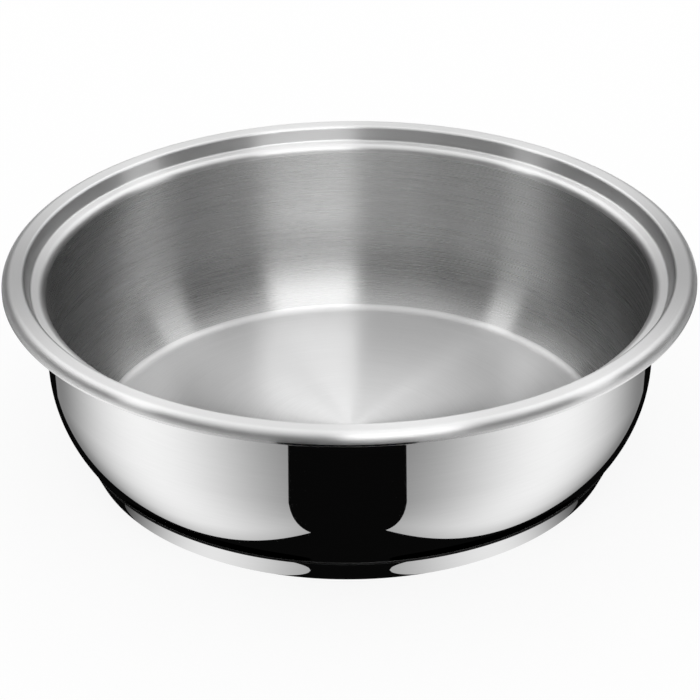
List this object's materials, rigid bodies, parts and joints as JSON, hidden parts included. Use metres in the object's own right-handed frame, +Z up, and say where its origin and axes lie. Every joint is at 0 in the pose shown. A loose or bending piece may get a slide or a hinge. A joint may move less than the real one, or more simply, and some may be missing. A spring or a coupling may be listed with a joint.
{
  "type": "soup kettle pan",
  "caption": "Open round drawn-steel pan of a soup kettle, with a stepped rim that seats a lid and a capped sandwich base; it stands flat or hangs by its rim.",
  "frame": {"origin": "middle of the underside of the base", "axes": "+Z up along the axis of the pan; X and Y are alike, because the pan is round"},
  "size_m": [0.3599, 0.36, 0.1075],
  "materials": {
    "pan_steel": "stainless, brushed round the axis inside, satin on the rim and polished outside",
    "cap_steel": "stainless, polished on the side and turned to a fine satin underneath",
    "core_aluminium": "plain rolled",
    "braze": "dull, as brazed"
  },
  "bodies": {
    "root": {"pan_body": "pan_steel", "base_cap": "cap_steel", "heat_spreader": "core_aluminium", "upper_braze_layer": "braze", "lower_braze_layer": "braze"}
  },
  "joints": []
}
